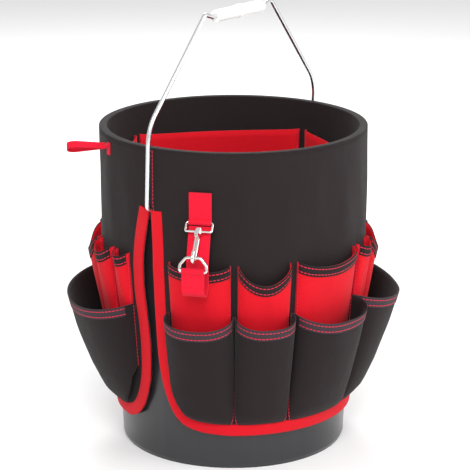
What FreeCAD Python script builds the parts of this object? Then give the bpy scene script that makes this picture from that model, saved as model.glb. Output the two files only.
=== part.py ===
import FreeCAD, Part
import math
import os

# A round plastic bucket with a fabric tool organizer draped over its rim.
# Millimetres. +Z is up and the origin is the centre of the bucket's foot. The bail's ears
# are on the X axis, and the front panel with the tape strap faces -Y.
# Angles round the bucket start at the ear on -X and turn towards -Y.

Vector = FreeCAD.Vector
Z_AXIS = Vector(0, 0, 1)
ORIGIN = Vector(0, 0, 0)

# Bucket
bucket_height = 373.0
base_radius = 131.2
body_top_radius = 149.0
bucket_wall = 2.2
floor_thickness = 2.8
foot_height = 5.0
foot_width = 4.0
foot_chamfer = 1.7
rim_overhang = 3.5
rim_radius = body_top_radius + rim_overhang
rim_height = 12.0
rim_rounding = 1.5

# Bail and its ears
ear_drop = 69.0
ear_height = bucket_height - ear_drop
ear_radius = 13.0
ear_edge = 1.5
bail_wire = 5.0
ear_fit = 0.1
bail_gap = 3.9
bail_shoulder_height = 94.0
bail_shoulder_radius = 48.0
bail_kink_half = 63.0
bail_kink_rise = 4.5
bail_rise = 201.0
bail_bend_radius = 8.0
bail_lean = 2.0
grip_length = 87.0
grip_diameter = 14.0
grip_bead = 1.0
grip_bead_width = 3.0
grip_fit = 0.1

# Fabric panels
fabric = 1.6
rim_clearance = 0.5
rim_drape = 0.6
taper_drop = 133.0
taper_height = bucket_height - taper_drop
panel_length = 330.0
panel_bottom = bucket_height - panel_length
panel_standoff = 3.0
slot_radius = 4.0
slit_spread = 10.0
slit_spread_drop = 168.0
slit_spread_height = bucket_height - slit_spread_drop
start_corner = 50.0
end_corner = 35.0
binding_width = 14.0
binding_thickness = 0.9

# Lining and inner pockets
lining = 1.2
lining_clearance = 0.5
lining_length = 168.0
lining_bottom = bucket_height - lining_length
inner_count = 4
inner_top_drop = 32.0
inner_top = bucket_height - inner_top_drop
inner_depth = 116.0
inner_bottom = inner_top - inner_depth
inner_bulge = 16.0
inner_gap_angle = 4.0

# Outer pockets. Each row gives the pocket's first and last seam, in degrees from the
# panel's start, and how far its mouth stands out from the panel.
pocket_cloth = 1.4
sewn_gap = 0.1
lower_seam_gap = 0.4
upper_seam_gap = 1.6
lower_top_drop = 186.0
lower_top = bucket_height - lower_top_drop
lower_heel = 12.0
lower_heel_share = 0.3
upper_top_drop = 124.0
upper_top = bucket_height - upper_top_drop
upper_depth = 137.0
upper_bottom = upper_top - upper_depth
pocket_start_bulge = 2.2
corner_power = 2.5
lower_pockets = ((7.5, 36.5, 36.0), (36.5, 61.7, 34.0), (61.7, 98.7, 38.0), (98.7, 169.0, 48.0))
upper_pockets = (
    (7.5, 36.5, 13.0),
    (36.5, 61.7, 13.0),
    (61.7, 98.7, 13.0),
    (98.7, 113.0, 12.0),
    (113.0, 139.3, 17.0),
    (139.3, 157.4, 15.0),
    (157.4, 169.0, 11.0),
)

# Hem tape
hem_height = 12.0
hem_thickness = 0.7
hem_gap = 0.1

# Tape strap and its snap hook
strap_angle = 22.8
strap_width = 25.0
webbing = 1.4
tab_top_drop = 42.0
tab_top = bucket_height - tab_top_drop
tab_standoff = 0.3
pivot_drop = 75.0
pivot_height = bucket_height - pivot_drop
wire_fit = 0.35
eye_wire = 2.8
eye_side_gap = 0.9
eye_inner_width = strap_width + 2 * eye_side_gap
eye_length = 11.0
eye_corner = 2.0
boss_length = 5.0
boss_lead = 0.3
boss_diameter = 8.5
shank_diameter = 4.2
shank_fit = 0.08
shank_head_diameter = 6.4
shank_head = 1.6
clip_tilt = 42.0
hook_wire = 4.0
hook_neck = 4.0
hook_reach = 43.0
ring_wire = 3.5
ring_play = 1.45
hook_bowl = hook_wire / 2 + ring_wire / 2 + ring_play
hook_tip = 5.0
gate_thickness = 1.8
gate_width = 3.6
gate_play = 0.35
gate_pin_diameter = 1.6
gate_pin_fit = 0.05
ring_side_gap = 0.7
ring_inner_width = strap_width + 2 * ring_side_gap
ring_height = 15.0
ring_tilt = 14.0
ring_corner = 2.1
ring_bow = 5.6
ring_straight_share = 0.45
ring_shoulder_share = 0.55
strap_bottom_gap = 20.0
strap_fit = 0.4
strap_bend_radius = 12.0
round_bottom = 0.98

# Tool loop
loop_angle = -28.0
loop_direction = -47.0
loop_drop = 9.0
loop_height = bucket_height - loop_drop
loop_length = 42.0
loop_width = 26.0
loop_webbing = 1.5
loop_band = 7.0
loop_tilt = 30.0
loop_tab_height = 14.0
loop_corner = 7.9
loop_start_gap = 0.01


def shell_radius(height):
    """Outside radius of the bucket's wall at a height."""
    share = height / bucket_height
    return base_radius + (body_top_radius - base_radius) * share


def panel_inner(height):
    """Inside radius of the fabric panels: straight down from the rim, then tapering in."""
    top = rim_radius + rim_clearance
    bottom = shell_radius(panel_bottom) + panel_standoff
    if height >= taper_height:
        return top
    share = (height - panel_bottom) / (taper_height - panel_bottom)
    return bottom + (top - bottom) * share


def panel_outer(height):
    """Outside radius of the fabric panels at a height."""
    return panel_inner(height) + fabric


def lining_outer(height):
    """Outside radius of the lining that hangs inside the bucket."""
    return shell_radius(height) - bucket_wall - lining_clearance


def polar(radius, degrees, height):
    """The point at a radius, an angle from the -X ear towards -Y, and a height."""
    turn = math.radians(degrees)
    return Vector(-radius * math.cos(turn), -radius * math.sin(turn), height)


def filleted_path(points, radii):
    """A wire through straight runs whose inner corners are rounded by tangent arcs."""
    edges = []
    here = points[0]
    for before, corner, after, radius in zip(points, points[1:], points[2:], radii):
        back = (before - corner).normalize()
        ahead = (after - corner).normalize()
        if (back + ahead).Length < 1e-6:
            continue
        half = back.getAngle(ahead) / 2
        reach = radius / math.tan(half)
        middle = corner + (back + ahead).normalize() * (radius / math.sin(half) - radius)
        start = corner + back * reach
        end = corner + ahead * reach
        if (start - here).Length > 1e-6:
            edges.append(Part.LineSegment(here, start).toShape())
        edges.append(Part.Arc(start, middle, end).toShape())
        here = end
    edges.append(Part.LineSegment(here, points[-1]).toShape())
    return Part.Wire(edges)


def revolved(outline, degrees=360.0):
    """A solid of revolution about Z from (radius, height) points, from the -X ear on."""
    points = [Vector(-radius, 0, height) for radius, height in outline]
    face = Part.Face(Part.makePolygon(points + points[:1]))
    return face.revolve(ORIGIN, Z_AXIS, degrees)


def swept_wire(path, diameter):
    """A round wire along a path."""
    start = path.Edges[0]
    centre = start.valueAt(start.FirstParameter)
    heading = start.tangentAt(start.FirstParameter)
    ring = Part.Wire(Part.makeCircle(diameter / 2, centre, heading))
    return path.makePipeShell([ring], True, False, 1)


def turned(shape, degrees):
    """A copy of a shape turned about the bucket's axis."""
    copy = shape.copy()
    copy.rotate(ORIGIN, Z_AXIS, degrees)
    return copy


# Bucket ---------------------------------------------------------------------------


def bucket_outline():
    """Half section of the bucket: foot ring, floor, tapered wall and rim bead."""
    inner_top = body_top_radius - bucket_wall
    floor_top = foot_height + floor_thickness
    inner_base = shell_radius(floor_top) - bucket_wall
    foot_outer = base_radius - foot_chamfer
    bead_bottom = bucket_height - rim_height
    return [
        (0, foot_height),
        (foot_outer - foot_width, foot_height),
        (foot_outer - foot_width, 0),
        (foot_outer, 0),
        (shell_radius(foot_height), foot_height),
        (shell_radius(bead_bottom), bead_bottom),
        (rim_radius, bead_bottom + rim_rounding),
        (rim_radius, bucket_height - rim_rounding),
        (rim_radius - rim_rounding, bucket_height),
        (inner_top, bucket_height),
        (inner_base, floor_top),
        (0, floor_top),
    ]


def ear_face():
    """How far the ear stands out from the axis, just inside the fabric."""
    fabric_inside = panel_inner(ear_height) - binding_thickness
    return math.sqrt(fabric_inside**2 - ear_radius**2) - rim_clearance


def bail_socket_floor():
    """Where the blind hole for the bail ends, in from the ear's face."""
    return shell_radius(ear_height) + ear_edge / 2


def bucket_shell():
    """The moulded bucket with its two ears, each with a blind hole for the bail."""
    shell = revolved(bucket_outline())
    root = shell_radius(ear_height) - bucket_wall / 2
    for side in (-1, 1):
        outward = Vector(side, 0, 0)
        boss = Part.makeCylinder(
            ear_radius, ear_face() - root, Vector(side * root, 0, ear_height), outward
        )
        shell = shell.fuse(boss)
    for side in (-1, 1):
        outward = Vector(side, 0, 0)
        floor = Vector(side * bail_socket_floor(), 0, ear_height)
        socket = Part.makeCylinder(bail_wire / 2 + ear_fit, ear_radius, floor, outward)
        shell = shell.cut(socket)
    return shell.removeSplitter()


# Bail -----------------------------------------------------------------------------


def leaned(shape):
    """A copy of a part of the bail leaned a little to the front about the ear axis."""
    copy = shape.copy()
    copy.rotate(Vector(0, 0, ear_height), Vector(1, 0, 0), bail_lean)
    return copy


def bail_half_width():
    """How far each leg stands from the axis, clear of the fabric."""
    return panel_outer(ear_height) + bail_gap + bail_wire / 2


def bail():
    """The bent wire: two ends in the ears, two legs, a shoulder each and a straight top."""
    leg = bail_half_width()
    end = bail_socket_floor() + ear_fit
    top = ear_height + bail_rise
    half = [
        (end, ear_height),
        (leg, ear_height),
        (leg, ear_height + bail_shoulder_height),
        (bail_kink_half, top + bail_kink_rise),
        (bail_kink_half - 3 * bail_kink_rise, top),
    ]
    radii = [bail_bend_radius, bail_shoulder_radius, bail_bend_radius / 2, bail_bend_radius]
    left = [Vector(-x, 0, z) for x, z in half]
    right = [Vector(x, 0, z) for x, z in reversed(half)]
    path = filleted_path(left + right, radii + radii[::-1])
    return leaned(swept_wire(path, bail_wire))


def grip():
    """The plastic tube that turns on the straight top of the bail, with a middle bead."""
    start = Vector(-grip_length / 2, 0, ear_height + bail_rise)
    along = Vector(1, 0, 0)
    tube = Part.makeCylinder(grip_diameter / 2, grip_length, start, along)
    bead_start = Vector(-grip_bead_width / 2, 0, ear_height + bail_rise)
    bead = Part.makeCylinder(grip_diameter / 2 + grip_bead, grip_bead_width, bead_start, along)
    bore = Part.makeCylinder(bail_wire / 2 + grip_fit, grip_length, start, along)
    return leaned(tube.fuse(bead).cut(bore))


# Panels and their binding ---------------------------------------------------------


def shell_between(inner_extra, outer_extra, bottom, top):
    """Half a fabric shell, thickened inwards and outwards by the two extras."""
    knee = min(max(taper_height, bottom), top)
    levels = [bottom] + [knee] * (bottom < knee < top) + [top]
    inside = [(panel_inner(z) - inner_extra, z) for z in levels]
    outside = [(panel_outer(z) + outer_extra, z) for z in reversed(levels)]
    return revolved(inside + outside, 180.0)


def edge_outline(spread, corner):
    """The cut-away between a panel's edge and the ear plane, in the plane of Y and Z."""
    past = slot_radius
    below = panel_bottom - past
    foot = slot_radius + spread + corner
    points = [
        Vector(0, past, ear_height),
        Vector(0, -slot_radius, ear_height),
        Vector(0, -slot_radius - spread, slit_spread_height),
        Vector(0, -slot_radius - spread, panel_bottom),
        Vector(0, -foot - past, panel_bottom),
    ]
    edge = filleted_path(points[1:], [corner, corner])
    closing = Part.makePolygon(
        [points[-1], Vector(0, -foot - past, below), Vector(0, past, below), points[0], points[1]]
    )
    return Part.Wire(edge.Edges + closing.Edges)


def edge_cut(side, spread, corner, margin):
    """A block along X that removes, or with a margin reaches past, a panel's end edge."""
    face = Part.Face(edge_outline(spread, corner))
    if margin:
        face = face.makeOffset2D(margin)
    reach = Vector(side * 2 * rim_radius, 0, 0)
    end = Part.makeCylinder(
        slot_radius + margin, 2 * rim_radius, Vector(0, 0, ear_height), Vector(side, 0, 0)
    )
    return face.extrude(reach).fuse(end)


def panel_cuts(margin):
    """The cut-aways at both ends of a panel."""
    start = edge_cut(-1, 0.0, start_corner, margin)
    finish = edge_cut(1, slit_spread, end_corner, margin)
    return start, finish


def front_panel():
    """One fabric panel, from the rim to below the pockets, with a slit edge at each end."""
    shell = shell_between(0, 0, panel_bottom, bucket_height)
    for cut in panel_cuts(0):
        shell = shell.cut(cut)
    return shell


def panel_binding(panel):
    """The tape folded round a panel's slit edges and bottom edge."""
    low = panel_bottom - binding_thickness
    high = ear_height + 2 * ear_radius
    tape = shell_between(binding_thickness, binding_thickness, low, high)
    start, finish = panel_cuts(binding_width)
    bottom = Part.makeCylinder(2 * rim_radius, binding_width, Vector(0, 0, low))
    band = tape.common(bottom.fuse(start).fuse(finish))
    for cut in panel_cuts(-binding_thickness):
        band = band.cut(cut)
    return band.cut(panel)


# Pockets --------------------------------------------------------------------------


def bulge_curve(base, outward, first, last, bulge, height):
    """A pocket's curve in plan: flat in the middle, turning in steeply at both seams."""
    middle = (first + last) / 2
    half = (last - first) / 2
    points = []
    for share in (-1.0, -0.97, -0.85, -0.55, 0.0, 0.55, 0.85, 0.97, 1.0):
        rise = (1 - abs(share) ** corner_power) ** (1 / corner_power)
        points.append(polar(base + outward * bulge * rise, middle + half * share, height))
    curve = Part.BSplineCurve()
    curve.interpolate(points)
    return curve.toShape(), points[0], points[-1]


def cloth_section(base, outward, first, last, bulge, height, thickness):
    """The closed section of a pocket's cloth at one height."""
    inset = math.degrees(thickness / base)
    outer, outer_first, outer_last = bulge_curve(base, outward, first, last, bulge, height)
    inner, inner_first, inner_last = bulge_curve(
        base, outward, first + inset, last - inset, bulge - thickness, height
    )
    ends = [
        Part.LineSegment(outer_last, inner_last).toShape(),
        Part.LineSegment(inner_first, outer_first).toShape(),
    ]
    return Part.Wire([outer, ends[0], inner, ends[1]])


def level_at(levels, height):
    """The bulge part-way between two levels, as a level of its own."""
    (low, low_bulge), (high, high_bulge) = levels[-2:]
    share = (height - low) / (high - low)
    return height, low_bulge + (high_bulge - low_bulge) * share


def cloth_wall(levels, base_at, outward, first, last, thickness):
    """Pocket cloth through (height, bulge) levels, with one more where the panel's taper starts."""
    if levels[-2][0] < taper_height < levels[-1][0]:
        levels = levels[:-1] + [level_at(levels, taper_height)] + levels[-1:]
    sections = []
    for height, bulge in levels:
        base = base_at(height) + outward * sewn_gap
        sections.append(cloth_section(base, outward, first, last, bulge, height, thickness))
    return Part.makeLoft(sections, True, True)


def lower_levels(bulge):
    """A lower pocket swells quickly at its heel, and then evenly up to its mouth."""
    bottom = panel_bottom - binding_thickness + binding_width + sewn_gap
    return [
        (bottom, pocket_start_bulge),
        (bottom + lower_heel, bulge * lower_heel_share),
        (lower_top, bulge),
    ]


def upper_levels(bulge):
    """An upper pocket widens evenly up to its mouth."""
    return [(upper_bottom, pocket_start_bulge), (upper_top, bulge)]


def tier(pockets, levels, seam_gap):
    """The cloth walls of one row of pockets, rounded off where the binding passes."""
    start, finish = panel_cuts(binding_width + sewn_gap)
    walls = []
    for first, last, bulge in pockets:
        wall = cloth_wall(
            levels(bulge), panel_outer, 1, first + seam_gap, last - seam_gap, pocket_cloth
        )
        walls.append(wall.cut(start).cut(finish))
    return walls


def hem_levels(levels):
    """The top stretch of a pocket's levels, as tall as the hem tape."""
    return [level_at(levels, levels[-1][0] - hem_height), levels[-1]]


def hem_tapes(pockets, levels, seam_gap):
    """The tape sewn along each mouth of one row of pockets, as separate strips."""
    strips = []
    proud = hem_gap + hem_thickness
    for first, last, bulge in pockets:
        raised = [(height, size + proud) for height, size in hem_levels(levels(bulge))]
        spread = math.degrees(proud / panel_outer(upper_top))
        strips.append(
            cloth_wall(
                raised,
                panel_outer,
                1,
                first + seam_gap - spread,
                last - seam_gap + spread,
                hem_thickness,
            )
        )
    return Part.makeCompound(strips)


def inner_lining():
    """The cloth that folds over the rim and hangs inside the bucket."""
    top = bucket_height + rim_drape + fabric
    outside = panel_outer(bucket_height)
    inside = lining_outer(bucket_height) - lining
    return revolved(
        [
            (panel_inner(bucket_height), bucket_height),
            (outside, bucket_height),
            (outside, top - fabric),
            (outside - fabric, top),
            (inside + lining, top),
            (inside, top - lining),
            (lining_outer(lining_bottom) - lining, lining_bottom),
            (lining_outer(lining_bottom), lining_bottom),
            (lining_outer(bucket_height), bucket_height + rim_drape),
            (panel_inner(bucket_height), bucket_height + rim_drape),
        ]
    )


def lining_inner(height):
    """Radius that the inner pockets are sewn on."""
    return lining_outer(height) - lining


def inner_pockets():
    """Equal pockets round the inside of the lining."""
    step = 360.0 / inner_count
    levels = [(inner_bottom, pocket_start_bulge), (inner_top, inner_bulge)]
    walls = []
    for index in range(inner_count):
        first = index * step + inner_gap_angle / 2
        last = (index + 1) * step - inner_gap_angle / 2
        walls.append(cloth_wall(levels, lining_inner, -1, first, last, pocket_cloth))
    return walls


# Tape strap. It is built in the plane of X and Z, with X the distance from the bucket's
# axis, and then turned to its place on the front panel. ----------------------------


def loop_radius(wire):
    """Inside radius of a webbing loop round a wire."""
    return wire / 2 + wire_fit


def pivot():
    """Middle of the bar that hangs in the anchor tab's loop."""
    stand = panel_outer(pivot_height) + tab_standoff + webbing + loop_radius(eye_wire)
    return Vector(stand, 0, pivot_height)


def clip_axes():
    """Unit vectors down along the clip, and out across it."""
    tilt = math.radians(clip_tilt)
    return Vector(math.sin(tilt), 0, -math.cos(tilt)), Vector(math.cos(tilt), 0, math.sin(tilt))


def clip_point(along, across, sideways=0.0):
    """A point given along and across the clip from the pivot bar."""
    down, out = clip_axes()
    return pivot() + down * along + out * across + Vector(0, sideways, 0)


def ring_top():
    """Middle of the ring's round wire where it hangs in the hook's bowl."""
    return clip_point(hook_reach, 0)


def ring_axes():
    """Unit vectors down along the ring, and out across it."""
    tilt = math.radians(ring_tilt)
    return Vector(math.sin(tilt), 0, -math.cos(tilt)), Vector(math.cos(tilt), 0, math.sin(tilt))


def ring_bar():
    """Middle of the ring's straight bar, in the strap's end loop."""
    return ring_top() + ring_axes()[0] * ring_height


def placed(shape):
    """A copy of a strap piece turned from the X axis to the strap's place."""
    return turned(shape, 180 + strap_angle)


def webbing_ring(centre, inner):
    """A short tube of webbing round a bar."""
    start = centre - Vector(0, strap_width / 2, 0)
    along = Vector(0, 1, 0)
    tube = Part.makeCylinder(inner + webbing, strap_width, start, along)
    return tube.cut(Part.makeCylinder(inner, strap_width, start, along))


def webbing_block(x_low, x_high, z_low, z_high):
    """A flat stretch of strap."""
    size = Vector(x_high - x_low, strap_width, z_high - z_low)
    return Part.makeBox(size.x, size.y, size.z, Vector(x_low, -strap_width / 2, z_low))


def anchor_tab():
    """The doubled webbing sewn to the panel, with the loop that holds the swivel eye."""
    centre = pivot()
    inner = loop_radius(eye_wire)
    back = centre.x - inner - webbing
    doubled = webbing_block(back, back + 2 * webbing, centre.z + inner, tab_top)
    side = webbing_block(back, back + webbing, centre.z, centre.z + inner)
    ring = webbing_ring(centre, inner)
    hole_start = centre - Vector(0, strap_width / 2, 0)
    hole = Part.makeCylinder(inner, strap_width, hole_start, Vector(0, 1, 0))
    return placed(ring.fuse(doubled).fuse(side).cut(hole).removeSplitter())


def strap_clearance():
    """How far from the axis the strap's tail hangs to pass the pocket mouth behind it."""
    nearest = max(bulge for first, last, bulge in upper_pockets if first < strap_angle < last)
    return panel_outer(upper_top) + nearest + hem_thickness + hem_gap + webbing + strap_fit


def tape_strap():
    """The long strap: down behind the tape, round under it and up to the ring."""
    bar = ring_bar()
    inner = loop_radius(ring_wire)
    centre = pivot()
    tail = strap_clearance()
    turn = (bar.x - tail) / 2
    bottom = bar.z - strap_bottom_gap - turn
    start = centre - Vector(0, 0, loop_radius(eye_wire) + webbing + strap_fit + webbing / 2)
    path = filleted_path(
        [
            start,
            Vector(tail, 0, upper_top + hem_height / 2),
            Vector(tail, 0, bottom),
            Vector(bar.x, 0, bottom),
            Vector(bar.x, 0, bar.z - inner),
        ],
        [strap_bend_radius, turn * round_bottom, turn * round_bottom],
    )
    heading = path.Edges[0].tangentAt(path.Edges[0].FirstParameter)
    across = heading.cross(Vector(0, 1, 0)) * (webbing / 2)
    side = Vector(0, strap_width / 2, 0)
    corners = [
        start + across + side,
        start + across - side,
        start - across - side,
        start - across + side,
    ]
    section = Part.makePolygon(corners + corners[:1])
    band = path.makePipeShell([section], True, False, 1)
    doubled = webbing_block(bar.x - webbing, bar.x + webbing, bottom + turn + inner, bar.z - inner)
    hole = Part.makeCylinder(inner, strap_width, bar - side, Vector(0, 1, 0))
    return placed(band.fuse(doubled).fuse(webbing_ring(bar, inner)).cut(hole).removeSplitter())


def boss_top():
    """Distance along the clip where the boss starts, a little proud of the eye's wire."""
    return eye_length - eye_wire / 2 - boss_lead


def swivel_eye():
    """The wide eye whose bar hangs in the tab, with a boss for the hook's shank."""
    half = eye_inner_width / 2 + eye_wire / 2
    frame = None
    for side in (-1, 1):
        corners = [
            clip_point(0, 0, 0),
            clip_point(0, 0, side * half),
            clip_point(eye_length, 0, side * half),
            clip_point(eye_length, 0, 0),
        ]
        arm = swept_wire(filleted_path(corners, [eye_corner] * 2), eye_wire)
        frame = arm if frame is None else frame.fuse(arm)
    down = clip_axes()[0]
    start = clip_point(boss_top(), 0)
    boss = Part.makeCylinder(boss_diameter / 2, boss_length + boss_lead, start, down)
    bore_radius = shank_diameter / 2 + shank_fit
    bore = Part.makeCylinder(bore_radius, 3 * boss_length, start - down * boss_length, down)
    return placed(frame.fuse(boss).removeSplitter().cut(bore))


def hook_levels():
    """Distances along the clip: boss end, neck end and the hook's tip."""
    boss_end = eye_length - eye_wire / 2 + boss_length
    neck_end = boss_end + shank_fit + hook_neck
    return boss_end, neck_end, hook_reach - hook_tip


def gate_hinge():
    """Middle of the gate's pin."""
    neck_end = hook_levels()[1]
    return clip_point(neck_end, hook_bowl)


def snap_hook():
    """The hook: head and shank in the eye, a neck block, and the wire round its bowl."""
    boss_end, neck_end, tip = hook_levels()
    down = clip_axes()[0]
    head_start = boss_top() - shank_fit - shank_head
    head = Part.makeCylinder(shank_head_diameter / 2, shank_head, clip_point(head_start, 0), down)
    shank_start = head_start + shank_head
    shank = Part.makeCylinder(
        shank_diameter / 2, neck_end - shank_start, clip_point(shank_start, 0), down
    )
    neck = Part.makeBox(2 * hook_bowl + hook_wire, hook_wire, hook_neck)
    neck.translate(Vector(-hook_bowl - hook_wire / 2, -hook_wire / 2, 0))
    neck.rotate(ORIGIN, Vector(0, 1, 0), 180 - clip_tilt)
    neck.translate(clip_point(boss_end + shank_fit, 0))
    path = Part.Wire(
        [
            Part.LineSegment(
                clip_point(neck_end - hook_neck / 2, -hook_bowl),
                clip_point(hook_reach, -hook_bowl),
            ).toShape(),
            Part.Arc(
                clip_point(hook_reach, -hook_bowl),
                clip_point(hook_reach + hook_bowl, 0),
                clip_point(hook_reach, hook_bowl),
            ).toShape(),
            Part.LineSegment(
                clip_point(hook_reach, hook_bowl), clip_point(tip, hook_bowl)
            ).toShape(),
        ]
    )
    wire = swept_wire(path, hook_wire)
    pin = gate_pin_solid(gate_pin_fit)
    room = gate_room()
    return placed(head.fuse(shank).fuse(neck).fuse(wire).cut(room).cut(pin).removeSplitter())


def gate_pin_solid(extra):
    """The gate's pin, or with extra its hole."""
    length = hook_wire + 2 * extra
    start = gate_hinge() - Vector(0, length / 2, 0)
    return Part.makeCylinder(gate_pin_diameter / 2 + extra, length, start, Vector(0, 1, 0))


def gate_room():
    """The slot in the neck that the gate's root turns in."""
    width = gate_width / 2 + 2 * gate_play
    start = gate_hinge() - Vector(0, width / 2, 0)
    radius = gate_thickness / 2 + gate_play + gate_pin_diameter / 2
    return Part.makeCylinder(radius, width, start, Vector(0, 1, 0))


def snap_gate():
    """The spring gate between the neck and the hook's tip."""
    tip = hook_levels()[2]
    hinge = gate_hinge()
    end = clip_point(tip - gate_play, hook_bowl)
    along = end - hinge
    width = gate_width / 2
    start = hinge - Vector(0, width / 2, 0)
    knuckle_radius = gate_thickness / 2 + gate_pin_diameter / 2
    knuckle = Part.makeCylinder(knuckle_radius, width, start, Vector(0, 1, 0))
    bar = Part.makeBox(gate_thickness, width, along.Length)
    bar.translate(Vector(-gate_thickness / 2, -width / 2, 0))
    bar.rotate(ORIGIN, Vector(0, 1, 0), math.degrees(math.atan2(along.x, along.z)))
    bar.translate(hinge)
    hole = gate_pin_solid(gate_pin_fit)
    return placed(knuckle.fuse(bar).cut(hole).removeSplitter())


def d_ring():
    """The ring: a straight bar in the strap's loop and a round bow through the hook."""
    down = ring_axes()[0]
    half = ring_inner_width / 2 + ring_wire / 2
    bar = ring_bar()
    top = ring_top()
    ring = None
    for side in (Vector(0, -1, 0), Vector(0, 1, 0)):
        corners = [
            bar,
            bar + side * half,
            bar + side * half - down * ring_height * ring_straight_share,
            top + side * half * ring_shoulder_share,
            top,
        ]
        arm = swept_wire(filleted_path(corners, [ring_corner, ring_bow, ring_bow]), ring_wire)
        ring = arm if ring is None else ring.fuse(arm)
    return placed(ring.removeSplitter())


# Tool loop ------------------------------------------------------------------------


def tool_loop():
    """A teardrop of narrow webbing that stands out from under the rim, and its sewn end."""
    half = loop_width / 2
    outline = [
        Vector(0, 0, 0),
        Vector(loop_length, -half, 0),
        Vector(loop_length, half, 0),
        Vector(0, loop_start_gap, 0),
    ]
    path = filleted_path(outline, [loop_corner, loop_corner])
    closing = Part.LineSegment(outline[-1], outline[0]).toShape()
    band = Part.Face(Part.Wire(path.Edges + [closing]))
    outer = band.makeOffset2D(loop_webbing / 2).extrude(Vector(0, 0, loop_band))
    inner = band.makeOffset2D(-loop_webbing / 2).extrude(Vector(0, 0, loop_band))
    ring = outer.cut(inner)
    ring.translate(Vector(0, 0, -loop_band / 2))
    ring.rotate(ORIGIN, Vector(1, 0, 0), loop_tilt)
    ring.rotate(ORIGIN, Z_AXIS, 180 + loop_direction)
    foot = panel_outer(loop_height) + tab_standoff + loop_webbing
    lean_out = loop_band * math.sin(math.radians(loop_tilt))
    ring.translate(polar(foot + lean_out, loop_angle, loop_height))
    tab = Part.makeBox(loop_webbing, loop_band, loop_tab_height)
    tab_bottom = loop_height - loop_tab_height + loop_band / 2
    tab.translate(Vector(foot - loop_webbing, -loop_band / 2, tab_bottom))
    neck = Part.makeBox(2 * loop_webbing + loop_band / 2, loop_band, 2 * loop_webbing)
    neck.translate(Vector(foot - loop_webbing, -loop_band / 2, loop_height - loop_webbing))
    return ring.fuse(turned(tab.fuse(neck), 180 + loop_angle)).removeSplitter()


def organizer_nodes():
    """Every node's name and shape."""
    nodes = {
        "bucket_shell": bucket_shell(),
        "bail_wire": bail(),
        "bail_grip": grip(),
        "inner_lining": inner_lining(),
        "tape_anchor_tab": anchor_tab(),
        "tape_strap": tape_strap(),
        "swivel_eye": swivel_eye(),
        "snap_hook": snap_hook(),
        "snap_gate": snap_gate(),
        "gate_pin": placed(gate_pin_solid(0)),
        "d_ring": d_ring(),
        "tool_loop": tool_loop(),
    }
    for number, wall in enumerate(inner_pockets(), 1):
        nodes[f"inner_pocket_{number}"] = wall
    panel = front_panel()
    rows = (
        ("lower", lower_pockets, lower_levels, lower_seam_gap),
        ("upper", upper_pockets, upper_levels, upper_seam_gap),
    )
    binding = panel_binding(panel)
    for side, angle in (("front", 0), ("rear", 180)):
        nodes[f"{side}_panel"] = turned(panel, angle)
        nodes[f"{side}_binding"] = turned(binding, angle)
        for row, pockets, levels, seam_gap in rows:
            for number, wall in enumerate(tier(pockets, levels, seam_gap), 1):
                nodes[f"{side}_{row}_pocket_{number}"] = turned(wall, angle)
            nodes[f"{side}_{row}_hem"] = turned(hem_tapes(pockets, levels, seam_gap), angle)
    return nodes


def main():
    """Builds every node and writes one STEP file for each."""
    os.makedirs("parts", exist_ok=True)
    for name, shape in organizer_nodes().items():
        shape.exportStep(f"parts/{name}.step")


main()
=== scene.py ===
"""Visual model of a round plastic bucket with a fabric tool organizer over its rim."""
import logging
import math
from dataclasses import dataclass, field
from enum import Enum
from typing import Callable, Iterable, Sequence

import bpy
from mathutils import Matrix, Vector

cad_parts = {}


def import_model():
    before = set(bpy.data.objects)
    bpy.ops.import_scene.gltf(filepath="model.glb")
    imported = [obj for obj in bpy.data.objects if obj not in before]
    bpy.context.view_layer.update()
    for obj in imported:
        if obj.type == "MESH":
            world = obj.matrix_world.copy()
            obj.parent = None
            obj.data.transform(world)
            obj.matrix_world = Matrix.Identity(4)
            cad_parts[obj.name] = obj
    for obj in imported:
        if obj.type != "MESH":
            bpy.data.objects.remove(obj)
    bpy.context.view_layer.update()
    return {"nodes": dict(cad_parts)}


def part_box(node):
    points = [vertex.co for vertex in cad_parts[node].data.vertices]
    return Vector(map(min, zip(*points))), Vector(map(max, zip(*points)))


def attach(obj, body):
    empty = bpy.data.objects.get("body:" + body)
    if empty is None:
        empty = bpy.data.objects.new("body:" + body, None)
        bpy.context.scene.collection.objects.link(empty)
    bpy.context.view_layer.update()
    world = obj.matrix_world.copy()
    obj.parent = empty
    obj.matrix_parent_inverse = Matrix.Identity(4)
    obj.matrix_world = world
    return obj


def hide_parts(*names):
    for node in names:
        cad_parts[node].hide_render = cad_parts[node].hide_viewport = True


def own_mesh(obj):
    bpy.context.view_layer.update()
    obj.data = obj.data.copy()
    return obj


log = logging.getLogger("organizer")
MM = 0.001
Colour = tuple[float, float, float]
Point = tuple[float, float, float]
Curve = Sequence[tuple[float, float]]


class Side(Enum):
    """The two halves of the organizer, with the turn that takes the front to each."""

    FRONT = ("front", 0.0)
    REAR = ("rear", 180.0)

    @property
    def label(self) -> str:
        """The side's word in node names."""
        return self.value[0]

    @property
    def turn(self) -> float:
        """The side's turn about the bucket's axis, in degrees."""
        return self.value[1]


def interpolate(curve: Curve, at: float) -> float:
    """Reads a curve of (position, value) pairs.

    Args:
        curve: Pairs in rising order of position.
        at: The position to read.

    Returns:
        The value there, on a straight line between its neighbours and held past the ends.
    """
    if at <= curve[0][0]:
        return curve[0][1]
    for (low, first), (high, second) in zip(curve, curve[1:]):
        if at <= high:
            return first + (second - first) * (at - low) / (high - low)
    return curve[-1][1]


def polar(radius: float, degrees: float, height: float) -> Point:
    """Turns a radius, an angle from the -X ear towards -Y, and a height into a point."""
    turn = math.radians(degrees)
    return (-radius * math.cos(turn), -radius * math.sin(turn), height)


# Shader building -------------------------------------------------------------------


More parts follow.
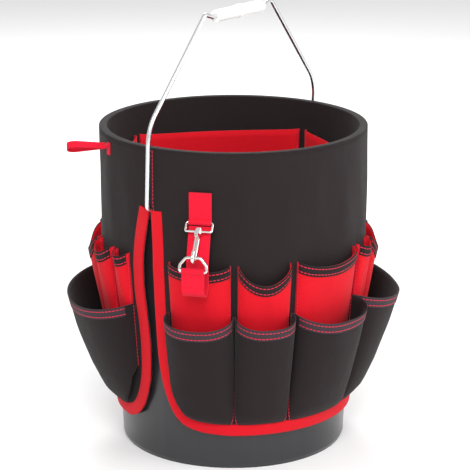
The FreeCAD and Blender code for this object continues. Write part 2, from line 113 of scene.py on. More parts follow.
class Wire:
    """A shader socket that takes part in Python expressions."""

    def __init__(self, shader: "ShaderGraph", socket: bpy.types.NodeSocket) -> None:
        """Keeps the graph and the socket."""
        self.shader = shader
        self.socket = socket

    def _math(self, operation: str, *values: "Wire | float") -> "Wire":
        """Adds one Math node."""
        inputs = {index: value for index, value in enumerate(values)}
        return self.shader.node("ShaderNodeMath", {"operation": operation}, inputs)

    def __add__(self, other: "Wire | float") -> "Wire":
        """Sum."""
        return self._math("ADD", self, other)

    def __sub__(self, other: "Wire | float") -> "Wire":
        """Difference."""
        return self._math("SUBTRACT", self, other)

    def __rsub__(self, other: float) -> "Wire":
        """Difference from a number."""
        return self._math("SUBTRACT", other, self)

    def __mul__(self, other: "Wire | float") -> "Wire":
        """Product."""
        return self._math("MULTIPLY", self, other)

    __radd__ = __add__
    __rmul__ = __mul__

    def sine(self) -> "Wire":
        """Sine, of radians."""
        return self._math("SINE", self)

    def size(self) -> "Wire":
        """Absolute value."""
        return self._math("ABSOLUTE", self)

    def cycle(self, pitch: float) -> "Wire":
        """Remainder after whole pitches."""
        return self._math("FLOORED_MODULO", self, pitch)

    def below(self, limit: "Wire | float") -> "Wire":
        """One where the value is under a limit."""
        return self._math("LESS_THAN", self, limit)


class ShaderGraph:
    """One material and the nodes in it."""

    def __init__(self, name: str) -> None:
        """Starts a material with its Principled shader.

        Args:
            name: The material's name.
        """
        self.material = bpy.data.materials.new(name)
        self.material.use_nodes = True
        self.tree = self.material.node_tree
        self.shader = self.tree.nodes["Principled BSDF"]

    def node(self, kind: str, settings: dict, inputs: dict, output: int | str = 0) -> Wire:
        """Adds a node.

        Args:
            kind: The node's type.
            settings: Its own settings, set first.
            inputs: Values or wires for its sockets, by name or number.
            output: The output socket wanted.

        Returns:
            That output.
        """
        made = self.tree.nodes.new(kind)
        for key, value in settings.items():
            setattr(made, key, value)
        for key, value in inputs.items():
            if isinstance(value, Wire):
                self.tree.links.new(value.socket, made.inputs[key])
            else:
                made.inputs[key].default_value = value
        return Wire(self, made.outputs[output])

    def uv(self, layer: str) -> tuple[Wire, Wire]:
        """Reads a UV layer.

        Args:
            layer: The layer's name.

        Returns:
            Its two values, in metres.
        """
        source = self.node("ShaderNodeUVMap", {"uv_map": layer}, {})
        first = self.node("ShaderNodeSeparateXYZ", {}, {0: source})
        return first, Wire(self, first.socket.node.outputs[1])

    def noise(self, scale: float, detail: float = 3.0, stretch: Point = (1, 1, 1)) -> Wire:
        """Adds noise in the object's own space.

        Args:
            scale: How fine it is.
            detail: How many finer layers it has.
            stretch: Its scale along each axis.

        Returns:
            The noise, from 0 to 1.
        """
        place = self.node("ShaderNodeTexCoord", {}, {}, "Object")
        times = {"operation": "MULTIPLY"}
        scaled = self.node("ShaderNodeVectorMath", times, {0: place, 1: stretch})
        inputs = {"Vector": scaled, "Scale": scale, "Detail": detail}
        return self.node("ShaderNodeTexNoise", {}, inputs, "Fac")

    def blend(self, mask: Wire | float, low: "Colour | Wire", high: "Colour | Wire") -> Wire:
        """Mixes two colours.

        Args:
            mask: Zero for the first colour, one for the second.
            low: The first colour.
            high: The second colour.

        Returns:
            The mixed colour.
        """
        ends = [c if isinstance(c, Wire) else (*c, 1.0) for c in (low, high)]
        inputs = {0: mask, 6: ends[0], 7: ends[1]}
        return self.node("ShaderNodeMix", {"data_type": "RGBA"}, inputs, 2)

    def fixed(self, **values: float) -> None:
        """Sets constant values on the Principled shader's own sockets."""
        for key, value in values.items():
            self.shader.inputs[key.replace("_", " ")].default_value = value

    def feed(self, socket: str, value: Wire) -> None:
        """Links a wire to a Principled socket."""
        self.tree.links.new(value.socket, self.shader.inputs[socket])

    def bump(self, height: Wire, distance: float, strength: float = 1.0) -> None:
        """Raises the surface by a height of 0 to 1 times a distance in metres."""
        inputs = {"Height": height, "Distance": distance, "Strength": strength}
        self.feed("Normal", self.node("ShaderNodeBump", {}, inputs))


class Stitch(Enum):
    """Where a fabric's stitches run."""

    NONE = "none"
    TWO_ROWS = "two rows along the tape"
    SIDES = "one row inside each side edge"


@dataclass(frozen=True)
class Fabric:
    """Woven cloth or tape, with its yarns, stitches, wrinkles and sheen."""

    name: str
    base: Colour
    light: Colour
    pitch: float = 0.9 * MM
    yarn: float = 0.12 * MM
    sheen: float = 0.06
    roughness: float = 0.82
    wrinkle: float = 2.4
    stitch: Stitch = Stitch.NONE
    thread: Colour = (0.72, 0.02, 0.06)
    tape_width: float = 12 * MM

    def stitches(self, graph: ShaderGraph) -> Wire | None:
        """The mask of the sewing thread, or None.

        Args:
            graph: The material being built.

        Returns:
            One on the thread and zero off it.
        """
        if self.stitch is Stitch.NONE:
            return None
        along, across = graph.uv("UVMap")
        from_side, _ = graph.uv("Edge")
        length, spacing, thick = 3.2 * MM, 4.4 * MM, 0.5 * MM
        inset, side_inset = 2.6 * MM, 3.0 * MM
        if self.stitch is Stitch.TWO_ROWS:
            near = (across - inset).size().below(thick)
            far = (across - (self.tape_width - inset)).size().below(thick)
            return (near + far) * along.cycle(spacing).below(length)
        line = (from_side - side_inset).size().below(thick)
        return line * across.cycle(spacing).below(length)

    def make(self) -> bpy.types.Material:
        """Builds the material.

        Returns:
            The material.
        """
        graph = ShaderGraph(self.name)
        along, across = graph.uv("UVMap")
        turn = 2 * math.pi / self.pitch
        weave = (along * turn).sine() * (across * turn).sine() * 0.5 + 0.5
        cloud = graph.noise(14.0)
        fleck = graph.noise(900.0, 2.0)
        shade = cloud * 0.55 + fleck * 0.3 + weave * 0.15
        colour = graph.blend(shade, self.base, self.light)
        folds = graph.noise(26.0, 4.0, (1.0, 1.0, 0.45))
        height = folds * self.wrinkle + weave * (self.yarn / MM)
        thread = self.stitches(graph)
        if thread is not None:
            colour = graph.blend(thread, colour, self.thread)
            height = height + thread * 0.45
        graph.feed("Base Color", colour)
        graph.feed("Roughness", cloud * 0.14 + (self.roughness - 0.07))
        graph.fixed(Sheen_Weight=self.sheen, Sheen_Roughness=0.4, Specular_IOR_Level=0.18)
        graph.bump(height, MM)
        return graph.material


@dataclass(frozen=True)
class Moulded:
    """Moulded plastic with a fine texture and light scuffs."""

    name: str
    base: Colour
    worn: Colour
    roughness: float
    coat: float = 0.0

    def make(self) -> bpy.types.Material:
        """Builds the material.

        Returns:
            The material.
        """
        graph = ShaderGraph(self.name)
        cloud = graph.noise(9.0)
        grain = graph.noise(700.0, 2.0)
        scuff = graph.noise(60.0, 5.0, (1.0, 1.0, 0.2))
        graph.feed("Base Color", graph.blend(cloud * 0.5 + scuff * 0.3, self.base, self.worn))
        graph.feed("Roughness", scuff * 0.12 + cloud * 0.06 + (self.roughness - 0.09))
        graph.fixed(Coat_Weight=self.coat, Coat_Roughness=0.2)
        graph.bump(grain * 0.6 + cloud * 0.4, 0.12 * MM)
        return graph.material


@dataclass(frozen=True)
class Plated:
    """Plated steel, with faint drawing marks and tarnish."""

    name: str
    base: Colour
    dull: Colour
    roughness: float

    def make(self) -> bpy.types.Material:
        """Builds the material.

        Returns:
            The material.
        """
        graph = ShaderGraph(self.name)
        cloud = graph.noise(45.0)
        marks = graph.noise(420.0, 4.0)
        graph.feed("Base Color", graph.blend(cloud * 0.6 + marks * 0.2, self.base, self.dull))
        graph.feed("Roughness", marks * 0.12 + cloud * 0.08 + (self.roughness - 0.1))
        graph.fixed(Metallic=1.0)
        graph.bump(marks, 0.05 * MM)
        return graph.material


@dataclass
class Finishes:
    """The materials by the record's slot names."""

    made: dict[str, bpy.types.Material] = field(default_factory=dict)

    def build(self) -> "Finishes":
        """Builds every finish once.

        Returns:
            Itself, with the materials made.
        """
        black, soft_black = (0.0085, 0.0055, 0.006), (0.021, 0.0145, 0.0155)
        red, light_red = (0.50, 0.002, 0.008), (0.70, 0.006, 0.018)
        finishes: dict[str, Fabric | Moulded | Plated] = {
            "black_fabric": Fabric("black_fabric", black, soft_black, stitch=Stitch.SIDES),
            "black_lining": Fabric("black_lining", black, soft_black, pitch=0.7 * MM),
            "red_fabric": Fabric("red_fabric", red, light_red, stitch=Stitch.SIDES),
            "red_binding": Fabric(
                "red_binding", red, light_red, pitch=1.4 * MM, yarn=0.2 * MM, wrinkle=0.25
            ),
            "plum_tape": Fabric(
                "plum_tape", (0.026, 0.018, 0.023), (0.055, 0.039, 0.048), wrinkle=0.2,
                stitch=Stitch.TWO_ROWS,
            ),
            "black_tape": Fabric(
                "black_tape", black, soft_black, wrinkle=0.2, stitch=Stitch.TWO_ROWS
            ),
            "red_webbing": Fabric(
                "red_webbing", (0.56, 0.003, 0.018), (0.78, 0.010, 0.038), pitch=2.0 * MM,
                yarn=0.3 * MM, wrinkle=0.1,
            ),
            "bucket_plastic": Moulded(
                "bucket_plastic", (0.010, 0.010, 0.012), (0.028, 0.028, 0.031), 0.32, 0.15
            ),
            "white_plastic": Moulded(
                "white_plastic", (0.84, 0.84, 0.83), (0.74, 0.74, 0.72), 0.3, 0.2
            ),
            "zinc_wire": Plated("zinc_wire", (0.80, 0.81, 0.83), (0.60, 0.61, 0.63), 0.26),
            "nickel_steel": Plated("nickel_steel", (0.84, 0.83, 0.81), (0.66, 0.65, 0.62), 0.18),
        }
        self.made = {slot: finish.make() for slot, finish in finishes.items()}
        return self

    def dress(self, piece: bpy.types.Object, slot: str) -> None:
        """Gives a piece a finish.

        Args:
            piece: The piece.
            slot: The slot's name in the record.
        """
        piece.data.materials.clear()
        piece.data.materials.append(self.made[slot])


# Cloth meshes ----------------------------------------------------------------------


@dataclass
class Grid:
    """A sheet of cloth as rows of points, with a thickness."""

    name: str
    rows: list[list[Point]]
    thickness: float

    def lengths(self) -> tuple[list[list[float]], list[list[float]]]:
        """Distances along the rows and along the columns.

        Returns:
            Two tables, one value for each point.
        """
        along = []
        for row in self.rows:
            run = [0.0]
            for before, here in zip(row, row[1:]):
                run.append(run[-1] + math.dist(before, here))
            along.append(run)
        up = [[0.0] * len(self.rows[0])]
        for before, row in zip(self.rows, self.rows[1:]):
            up.append([total + math.dist(a, b) for total, a, b in zip(up[-1], before, row)])
        return along, up

    def flat_size(self) -> tuple[float, float]:
        """The longest run each way: the cloth's flat width and length."""
        along, up = self.lengths()
        return max(run[-1] for run in along), max(up[-1])

    def flat_area(self) -> float:
        """The cloth's flat area."""
        along, up = self.lengths()
        mean_height = sum(up[-1]) / len(up[-1])
        return mean_height * sum(run[-1] for run in along) / len(along)

    def build(self) -> bpy.types.Object:
        """Makes the mesh with its UV layers and its thickness.

        Returns:
            The object, in place in the row frame.
        """
        wide = len(self.rows[0])
        points = [point for row in self.rows for point in row]
        faces = [
            (r * wide + c, r * wide + c + 1, (r + 1) * wide + c + 1, (r + 1) * wide + c)
            for r in range(len(self.rows) - 1)
            for c in range(wide - 1)
        ]
        mesh = bpy.data.meshes.new(self.name)
        mesh.from_pydata(points, [], faces)
        along, up = self.lengths()
        main, edge = mesh.uv_layers.new(name="UVMap"), mesh.uv_layers.new(name="Edge")
        for loop in mesh.loops:
            r, c = divmod(loop.vertex_index, wide)
            main.data[loop.index].uv = (along[r][c], up[r][c])
            side = min(along[r][c], along[r][-1] - along[r][c])
            edge.data[loop.index].uv = (side, up[-1][c] - up[r][c])
        mesh.polygons.foreach_set("use_smooth", [True] * len(mesh.polygons))
        piece = bpy.data.objects.new(self.name, mesh)
        bpy.context.scene.collection.objects.link(piece)
        thicken = piece.modifiers.new("cloth", "SOLIDIFY")
        thicken.thickness = self.thickness
        thicken.offset = 0.0
        return piece


@dataclass
class Shell:
    """The surface that the panels lie on: straight down from the rim, then tapering in."""

    top: float
    bottom: float
    radius: float
    foot_radius: float = 137.9 * MM
    taper: float = 240 * MM
    cloth: float = 1.6 * MM
    settle: float = 60 * MM
    upper_seam: float = 262 * MM
    sewn_share: float = 0.4
    calm_edge: float = 14
    ripple_mm: float = 1.6

    @classmethod
    def from_frame(cls) -> "Shell":
        """Reads the panel's box.

        Returns:
            The shell, as far out as the CAD panel.
        """
        low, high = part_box("front_panel")
        return cls(top=high[2], bottom=low[2], radius=-low[1])

    def outer(self, height: float) -> float:
        """Finds the panel's outside radius.

        Args:
            height: The height in metres.

        Returns:
            The radius in metres.
        """
        if height >= self.taper:
            return self.radius
        share = (height - self.bottom) / (self.taper - self.bottom)
        return self.foot_radius + (self.radius - self.foot_radius) * share

    def ripple(self, degrees: float, height: float) -> float:
        """Finds how far the hanging cloth waves in and out.

        Args:
            degrees: The angle round the panel.
            height: The height in metres.

        Returns:
            The distance outwards, zero at the rim and at both side edges.
        """
        turn = math.radians(degrees)
        free = min(1.0, max(0.0, (self.top - height) / self.settle))
        wave = math.sin(7 * turn + 1.1) * 0.6 + math.sin(13 * turn - 22 * height) * 0.35
        fine = math.sin(23 * turn + 31 * height) * 0.2
        sewn = 1.0 if height > self.upper_seam else self.sewn_share
        inside = min(1.0, min(degrees, 180 - degrees) / self.calm_edge)
        return (wave + fine) * free * sewn * inside * self.ripple_mm * MM


@dataclass
class Slit:
    """A panel's two side edges, as angles at heights, measured to the binding's edge."""

    start: Curve = (
        (43, 34), (46, 18.3), (56, 9.2), (84, 3.6), (121, 0.8), (175, 0.6), (250, 1.2),
        (276, 0.8), (304, 0.3),
    )
    finish: Curve = (
        (43, 157.3), (52, 166), (79, 172.8), (119, 176.2), (173, 176.1), (196, 174.6),
        (238, 175.0), (266, 176.1), (304, 179.3),
    )
    closed_above: float = 306
    level_steps: int = 24

    def edges(self, height: float) -> tuple[float, float]:
        """Finds the panel's side edges.

        Args:
            height: The height in metres.

        Returns:
            The first and the last angle.
        """
        if height / MM > self.closed_above:
            return 0.0, 180.0
        return interpolate(self.start, height / MM), interpolate(self.finish, height / MM)

    def path(self) -> list[tuple[float, float]]:
        """The bound edge, down one slit, along the bottom and up the other.

        Returns:
            (angle, height in metres) points in order.
        """
        down = [(angle, height * MM) for height, angle in reversed(self.start)]
        low = self.start[0][0] * MM
        count = self.level_steps
        first, last = self.start[0][1], self.finish[0][1]
        level = [(first + (last - first) * k / count, low) for k in range(1, count)]
        up = [(angle, height * MM) for height, angle in self.finish]
        return down + level + up


def smooth(points: list[tuple[float, float]], passes: int = 3) -> list[tuple[float, float]]:
    """Rounds an open line by cutting its corners, with its ends kept.

    Args:
        points: The line.
        passes: How many times its corners are cut.

    Returns:
        The rounded line.
    """
    near, far = 0.75, 0.25
    for _ in range(passes):
        cut = [points[0]]
        for (a, b), (c, d) in zip(points, points[1:]):
            cut.append((a * near + c * far, b * near + d * far))
            cut.append((a * far + c * near, b * far + d * near))
        points = cut + [points[-1]]
    return points


def steps(count: int) -> Iterable[float]:
    """Equal shares from 0 to 1."""
    return (index / count for index in range(count + 1))


def seam_shares(count: int = 36, crowding: float = 2.2) -> list[float]:
    """Places across a pocket from -1 to 1, closer together at both seams."""
    places = (2 * share - 1 for share in steps(count))
    return [math.copysign(1 - (1 - abs(at)) ** crowding, at) for at in places]


@dataclass
class Pocket:
    """One open pocket: its two seams, how far it stands out and how its mouth sags."""

    first: float
    last: float
    bulge: float
    sag: float


@dataclass
class PocketRow:
    """A row of pockets on a panel, from its bottom seam to its mouths."""

    label: str
    pockets: Sequence[Pocket]
    bottom: float
    top: float
    heel: Curve
    cloth_slot: str
    hem_slot: str
    seam_gap: float
    cloth: float = 1.4 * MM
    hem: float = 12 * MM
    hem_cloth: float = 0.7 * MM
    roundness: float = 2.5
    hem_rise: float = 0.4 * MM
    hem_out: float = 1.15 * MM
    cloth_steps: int = 22
    hem_steps: int = 5

    def stand(self, share: float, rise: float, bulge: float) -> float:
        """How far the cloth stands off the panel.

        Args:
            share: Place between the seams, from -1 to 1.
            rise: Share of the way from the bottom seam to the mouth.
            bulge: The mouth's own distance, in millimetres.

        Returns:
            The distance in metres.
        """
        swell = interpolate(self.heel, rise) * bulge * MM
        start = 2.2 * MM
        size = start + max(0.0, swell - start)
        return size * (1 - abs(share) ** self.roundness) ** (1 / self.roundness)

    def place(
        self, shell: Shell, pocket: Pocket, share: float, height: float, out: float
    ) -> Point:
        """Finds a point on a pocket's cloth.

        Args:
            shell: The surface behind.
            pocket: The pocket.
            share: Place between the seams, from -1 to 1.
            height: The height in metres.
            out: Extra distance outwards, in metres.

        Returns:
            The point, with the panel at the front.
        """
        middle = (pocket.first + pocket.last) / 2
        half = (pocket.last - pocket.first) / 2 - self.seam_gap
        rise = (height - self.bottom) / (self.top - self.bottom)
        stand = self.stand(share, rise, pocket.bulge)
        across, upward, depth = 5.1, 60, 0.8
        fold = math.sin(share * across + height * upward) * depth * MM
        fold = fold * max(0.0, 1 - share * share) * rise
        radius = shell.outer(height) + self.cloth * 0.6 + stand - self.cloth / 2 + fold + out
        return polar(radius, middle + half * share, height)

    def mouth(self, pocket: Pocket, share: float) -> float:
        """Height of the mouth's edge, which sags between its seams."""
        return self.top - pocket.sag * MM * (1 - share * share) ** 0.8

    def build(
        self, side: Side, shell: Shell, finishes: Finishes, floor_at: Callable[[float], float]
    ) -> None:
        """Makes the row's cloth and hems.

        Args:
            side: Which panel.
            shell: The surface behind.
            finishes: The materials.
            floor_at: Lowest height that the binding leaves free at an angle.
        """
        shares = seam_shares()
        for number, pocket in enumerate(self.pockets, 1):
            half = (pocket.last - pocket.first) / 2 - self.seam_gap
            middle = (pocket.first + pocket.last) / 2
            foot = [max(self.bottom, floor_at(middle + half * s)) for s in shares]
            cloth_rows = [
                [
                    self.place(shell, pocket, s, f + (self.mouth(pocket, s) - f) * t, 0.0)
                    for s, f in zip(shares, foot)
                ]
                for t in steps(self.cloth_steps)
            ]
            hem_rows = [
                [
                    self.place(
                        shell, pocket, s,
                        self.mouth(pocket, s) - self.hem * (1 - t) + self.hem_rise * t,
                        self.hem_out,
                    )
                    for s in shares
                ]
                for t in steps(self.hem_steps)
            ]
            name = f"{side.label}_{self.label}_pocket_{number}"
            cloth = Grid(f"{name}_cloth", cloth_rows, self.cloth)
            hem = Grid(f"{name}_tape", hem_rows, self.hem_cloth)
            for grid, slot in ((cloth, self.cloth_slot), (hem, self.hem_slot)):
                piece = grid.build()
                piece.rotation_euler.z = math.radians(side.turn)
                finishes.dress(piece, slot)
                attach(piece, "root")
            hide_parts(name)
            cloth.flat_size()
            cloth.flat_area()
        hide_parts(f"{side.label}_{self.label}_hem")
        log.info("%s %s pockets: %d", side.label, self.label, len(self.pockets))


@dataclass
class Panel:
    """One half of the organizer's outside: its cloth and the tape round its edges."""

    side: Side
    slit: Slit = field(default_factory=Slit)
    tape: float = 14 * MM
    tape_cloth: float = 0.9 * MM
    low_part: float = 150 * MM
    reach: float = 1.5
    clear: float = 0.6 * MM
    rows_up: int = 84
    crowding: float = 1.25
    places_across: int = 150

    def tape_line(self, shell: Shell) -> list[tuple[tuple[float, float], tuple[float, float]]]:
        """The tape's outer and inner line.

        Args:
            shell: The surface that the tape lies on.

        Returns:
            Pairs of (angle, height) points, one on each line.
        """
        line = smooth(self.slit.path())
        pairs = []
        for index, (angle, height) in enumerate(line):
            before, after = line[max(index - 1, 0)], line[min(index + 1, len(line) - 1)]
            scale = math.radians(1) * shell.outer(height)
            run, rise = (after[0] - before[0]) * scale, after[1] - before[1]
            size = math.hypot(run, rise)
            inward = (angle - rise / size * self.tape / scale, height + run / size * self.tape)
            pairs.append(((angle, height), inward))
        return pairs

    def floor_at(self, shell: Shell) -> Callable[[float], float]:
        """Finds where the low part of the tape ends.

        Args:
            shell: The surface that the tape lies on.

        Returns:
            A function from an angle to the lowest height that the tape leaves free.
        """
        inner = [pair[1] for pair in self.tape_line(shell)]
        low = [(a, z) for a, z in inner if z < self.low_part]

        def height(angle: float) -> float:
            """The tape's inner line at an angle."""
            close = [z for a, z in low if abs(a - angle) < self.reach]
            return (max(close) if close else 0.0) + self.clear

        return height

    def build(self, shell: Shell, finishes: Finishes) -> None:
        """Makes the cloth and its tape.

        Args:
            shell: The surface that both lie on.
            finishes: The materials.
        """
        tall = shell.top - shell.bottom
        heights = [shell.bottom + tall * (s**self.crowding) for s in steps(self.rows_up)]
        rows = []
        for height in heights:
            first, last = self.slit.edges(height)
            rows.append(
                [
                    polar(
                        shell.outer(height) - shell.cloth / 2
                        + shell.ripple(first + (last - first) * s, height),
                        first + (last - first) * s,
                        height,
                    )
                    for s in steps(self.places_across)
                ]
            )
        cloth = Grid(f"{self.side.label}_panel_cloth", rows, shell.cloth)
        tape_rows = [[], [], [], [], []]
        for (angle, height), (in_angle, in_height) in self.tape_line(shell):
            for row, share in zip(tape_rows, (0.0, 0.12, 0.5, 0.88, 1.0)):
                crown = 0.35 * MM * (1 - (2 * share - 1) ** 2)
                z = height + (in_height - height) * share
                at = angle + (in_angle - angle) * share
                radius = shell.outer(max(z, shell.bottom)) - shell.cloth / 2 + crown
                row.append(polar(radius, at, z))
        tape = Grid(f"{self.side.label}_edge_tape", tape_rows, shell.cloth + 2 * self.tape_cloth)
        for grid, slot in ((cloth, "black_fabric"), (tape, "red_binding")):
            piece = grid.build()
            piece.rotation_euler.z = math.radians(self.side.turn)
            finishes.dress(piece, slot)
            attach(piece, "root")
        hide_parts(f"{self.side.label}_panel")
        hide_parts(f"{self.side.label}_binding")
        cloth.flat_size()
        cloth.flat_area()
        log.info("%s panel and its tape", self.side.label)


@dataclass
class Lining:
    """The cloth folded over the rim and hung inside, with its pockets."""

    pockets: int = 4
    drop: float = 168 * MM
    pocket_top: float = 32 * MM
    pocket_bottom: float = 148 * MM
    pocket_bulge: float = 16.0
    cloth: float = 1.2 * MM
    base: float = 131.2 * MM
    body_top: float = 149 * MM
    behind: float = 2.7 * MM
    rim: float = 373 * MM
    lift: float = 0.8 * MM
    pocket_gap: float = 2
    pocket_sag: float = 5 * MM
    pocket_start: float = 2.2
    pocket_roundness: float = 2.5
    pocket_cloth: float = 1.4 * MM

    def inside(self, height: float) -> float:
        """Radius of the lining's middle surface at a height."""
        share = height / self.rim
        return self.base + (self.body_top - self.base) * share - self.behind - self.cloth / 2

    def build(self, shell: Shell, finishes: Finishes) -> None:
        """Makes the lining and the pockets on it.

        Args:
            shell: The surface that the panels lie on.
            finishes: The materials.
        """
        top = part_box("inner_lining")[1][2]
        rim = self.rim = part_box("bucket_shell")[1][2]
        outside = shell.radius - self.cloth / 2
        profile = [(outside, rim - 0.2 * MM), (outside + 0.1 * MM, rim + self.lift)]
        inner = self.inside(rim)
        centre, half = (outside + inner) / 2, (outside - inner) / 2
        crown = top - self.cloth / 2 - rim - self.lift
        for share in steps(10):
            turn = math.pi * share
            profile.append(
                (centre + half * math.cos(turn), rim + self.lift + crown * math.sin(turn) ** 0.6)
            )
        for share in steps(20):
            height = rim - self.drop * share
            profile.append((self.inside(height), height))
        rows = [[polar(radius, 360 * s, height) for s in steps(240)] for radius, height in profile]
        grid = Grid("rim_lining", rows, self.cloth)
        lining = grid.build()
        finishes.dress(lining, "black_lining")
        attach(lining, "root")
        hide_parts("inner_lining")
        grid.flat_size()
        grid.flat_area()
        for index in range(self.pockets):
            self.build_pocket(index, rim, finishes)
        log.info("lining and %d inner pockets", self.pockets)

    def build_pocket(self, index: int, rim: float, finishes: Finishes) -> None:
        """Makes one pocket on the lining.

        Args:
            index: Its place round the bucket, from 0.
            rim: The rim's height in metres.
            finishes: The materials.
        """
        step = 360 / self.pockets
        gap = self.pocket_gap
        first, last = index * step + gap, (index + 1) * step - gap
        low, high = rim - self.pocket_bottom, rim - self.pocket_top
        shares = seam_shares()
        start, roundness = self.pocket_start, self.pocket_roundness
        rows = []
        for t in steps(14):
            row = []
            for share in shares:
                height = low + (high - low) * t - self.pocket_sag * t * (1 - share * share)
                stand = (start + (self.pocket_bulge - start) * t) * MM
                stand *= (1 - abs(share) ** roundness) ** (1 / roundness)
                angle = (first + last) / 2 + (last - first) / 2 * share
                row.append(polar(self.inside(height) - self.cloth - stand, angle, height))
            rows.append(row)
        grid = Grid(f"inner_pocket_{index + 1}_cloth", rows, self.pocket_cloth)
        piece = grid.build()
        finishes.dress(piece, "red_fabric")
        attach(piece, "root")
        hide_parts(f"inner_pocket_{index + 1}")
        grid.flat_size()
        grid.flat_area()


@dataclass
class Webbing:
    """The strap, its tab and the tool loop: copies of their CAD meshes with eased edges."""

    pieces: Sequence[tuple[str, str]] = (
        ("tape_anchor_tab", "root"), ("tape_strap", "strap"), ("tool_loop", "root"),
    )
    unroll_mm: float = 160
    edge: float = 0.35 * MM

    def build(self, nodes: dict[str, bpy.types.Object], finishes: Finishes) -> None:
        """Copies each strap's CAD mesh, eases its edges and gives it UVs by angle and height.

        Args:
            nodes: The CAD nodes by name.
            finishes: The materials.
        """
        for name, body in self.pieces:
            piece = bpy.data.objects.new(f"{name}_webbing", nodes[name].data.copy())
            bpy.context.scene.collection.objects.link(piece)
            mesh = piece.data
            while mesh.uv_layers:
                mesh.uv_layers.remove(mesh.uv_layers[0])
            for layer in ("UVMap", "Edge"):
                uv = mesh.uv_layers.new(name=layer)
                for loop in mesh.loops:
                    point = mesh.vertices[loop.vertex_index].co
                    turn = math.atan2(point.y, point.x)
                    uv.data[loop.index].uv = (turn * self.unroll_mm * MM, point.z)
            soften = piece.modifiers.new("edges", "BEVEL")
            soften.width = self.edge
            soften.segments = 2
            soften.limit_method = "ANGLE"
            finishes.dress(piece, "red_webbing")
            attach(piece, body)
            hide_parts(name)
            if name == "tool_loop":
                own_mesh(piece)
        log.info("webbing: %d pieces", len(self.pieces))


@dataclass
class Hardware:
    """The CAD nodes that are shown as they are, with their finishes."""

    slots: dict[str, str] = field(
        default_factory=lambda: {
            "bucket_shell": "bucket_plastic",
            "bail_wire": "zinc_wire",
            "bail_grip": "white_plastic",
            "swivel_eye": "nickel_steel",
            "snap_hook": "nickel_steel",
            "snap_gate": "nickel_steel",
            "gate_pin": "nickel_steel",
            "d_ring": "nickel_steel",
        }
    )

    def dress(self, nodes: dict[str, bpy.types.Object], finishes: Finishes) -> None:
        """Gives each node its finish.

        Args:
            nodes: The CAD nodes by name.
            finishes: The materials.
        """
        for name, slot in self.slots.items():
            node = nodes[name]
            node.data.materials.clear()
            node.data.materials.append(finishes.made[slot])
        log.info("hardware: %d nodes", len(self.slots))


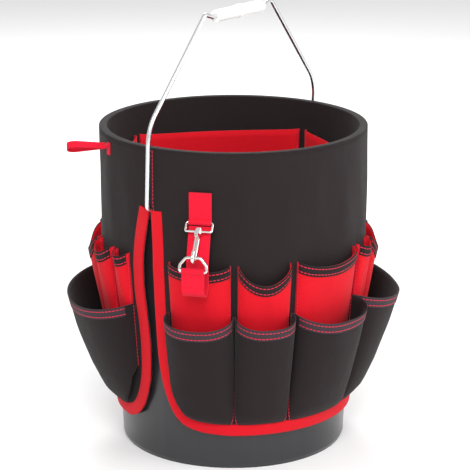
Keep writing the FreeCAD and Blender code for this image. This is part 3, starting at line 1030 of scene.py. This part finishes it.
@dataclass
class Studio:
    """A pale floor, soft lights and the camera."""

    azimuth: float = -53.88
    elevation: float = 16.80
    distance: float = 2.4145
    aim: Point = (0.0, 0.0, 0.2)
    lens: float = 157.3
    shift: tuple[float, float] = (0.0035, 0.070)
    floor_half: float = 6.0
    floor_colour: Colour = (0.93, 0.93, 0.93)
    sky: float = 0.72

    def build(self) -> None:
        """Makes the floor, the world, the lights and the camera."""
        mesh = bpy.data.meshes.new("studio_floor")
        size = self.floor_half
        corners = [(-size, -size, 0), (size, -size, 0), (size, size, 0), (-size, size, 0)]
        mesh.from_pydata(corners, [], [(0, 1, 2, 3)])
        floor = bpy.data.objects.new("studio_floor", mesh)
        bpy.context.scene.collection.objects.link(floor)
        graph = ShaderGraph("studio_floor")
        graph.fixed(Roughness=0.9)
        graph.shader.inputs["Base Color"].default_value = (*self.floor_colour, 1)
        mesh.materials.append(graph.material)
        world = bpy.data.worlds.new("studio")
        world.use_nodes = True
        background = world.node_tree.nodes["Background"]
        background.inputs["Color"].default_value = (1, 1, 1, 1)
        background.inputs["Strength"].default_value = self.sky
        bpy.context.scene.world = world
        self.light("key", (-1.9, -1.3, 1.9), 55, 1.2)
        self.light("fill", (0.6, -2.3, 1.1), 26, 1.4)
        self.light("rim", (1.5, 1.3, 1.7), 30, 1.0)
        turn, rise = math.radians(self.azimuth), math.radians(self.elevation)
        level = math.cos(rise)
        away = Vector((math.sin(turn) * level, -math.cos(turn) * level, math.sin(rise)))
        data = bpy.data.cameras.new("camera")
        data.lens = self.lens
        data.sensor_width = 36.0
        data.shift_x, data.shift_y = self.shift
        camera = bpy.data.objects.new("camera", data)
        camera.location = Vector(self.aim) + away * self.distance
        camera.rotation_euler = (-away).to_track_quat("-Z", "Y").to_euler()
        bpy.context.scene.collection.objects.link(camera)
        bpy.context.scene.camera = camera
        bpy.context.scene.view_settings.view_transform = "Standard"

    def light(self, name: str, place: Point, power: float, size: float) -> None:
        """Adds a soft square light aimed at the bucket's middle.

        Args:
            name: The light's name.
            place: Where it stands.
            power: Its power in watts.
            size: Its side in metres.
        """
        data = bpy.data.lights.new(name, "AREA")
        data.energy, data.size = power, size
        lamp = bpy.data.objects.new(name, data)
        lamp.location = place
        lamp.rotation_euler = (Vector(self.aim) - Vector(place)).to_track_quat("-Z", "Y").to_euler()
        bpy.context.scene.collection.objects.link(lamp)


def pocket_rows() -> tuple[PocketRow, PocketRow]:
    """Describes the pocket rows, which are the same on both panels.

    Returns:
        The lower and the upper row.
    """
    lower = PocketRow(
        label="lower",
        pockets=(
            Pocket(7.5, 36.5, 36, 9), Pocket(36.5, 61.7, 34, 8),
            Pocket(61.7, 98.7, 38, 11), Pocket(98.7, 169, 48, 14),
        ),
        bottom=56.2 * MM, top=189 * MM,
        heel=((0, 0.04), (0.04, 0.17), (0.1, 0.32), (0.3, 0.54), (0.6, 0.78), (1, 1)),
        cloth_slot="black_fabric", hem_slot="plum_tape", seam_gap=0.4,
    )
    upper = PocketRow(
        label="upper",
        pockets=(
            Pocket(7.5, 36.5, 13, 6), Pocket(36.5, 61.7, 13, 22), Pocket(61.7, 98.7, 13, 9),
            Pocket(98.7, 113, 12, 5), Pocket(113, 139.3, 17, 24), Pocket(139.3, 157.4, 15, 10),
            Pocket(157.4, 169, 11, 5),
        ),
        bottom=112 * MM, top=249 * MM,
        heel=((0, 0.15), (1, 1)),
        cloth_slot="red_fabric", hem_slot="black_tape", seam_gap=1.6,
    )
    return lower, upper


def main() -> None:
    """Loads the frame, builds the soft pieces, dresses the rest and sets the studio."""
    logging.basicConfig(level=logging.INFO, format="%(message)s")
    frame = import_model()
    nodes = frame["nodes"]
    Studio().build()
    finishes = Finishes().build()
    shell = Shell.from_frame()
    Lining().build(shell, finishes)
    for side in Side:
        panel = Panel(side)
        panel.build(shell, finishes)
        for row in pocket_rows():
            row.build(side, shell, finishes, panel.floor_at(shell))
    Webbing().build(nodes, finishes)
    Hardware().dress(nodes, finishes)
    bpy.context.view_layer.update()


if __name__ == "__main__":
    main()
